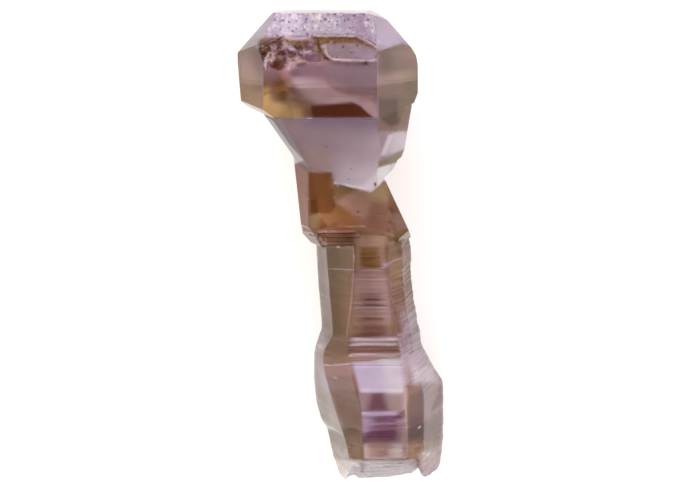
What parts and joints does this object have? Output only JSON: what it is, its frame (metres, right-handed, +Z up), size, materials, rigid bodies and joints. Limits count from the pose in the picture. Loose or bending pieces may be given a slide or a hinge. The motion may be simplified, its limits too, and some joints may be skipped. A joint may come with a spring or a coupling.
{
  "type": "amethyst scepter crystal",
  "caption": "Quartz scepter crystal: a wide faceted amethyst head grown over the tip of a thinner, terraced smoky stem, lying on its back.",
  "frame": {"origin": "centre of the crystal's box in plan, on the surface that it lies on", "axes": "+Y runs along the crystal from the broken foot of the stem to the tip of the head, +Z is up, out of the crystal's front face, and +X is to the right of that face"},
  "size_m": [0.0206, 0.049, 0.0132],
  "materials": {
    "amethyst": "clear to frosty quartz, mauve and lavender with smoky brown and amber zones"
  },
  "bodies": {
    "root": {"amethyst_scepter": "amethyst"}
  },
  "joints": []
}
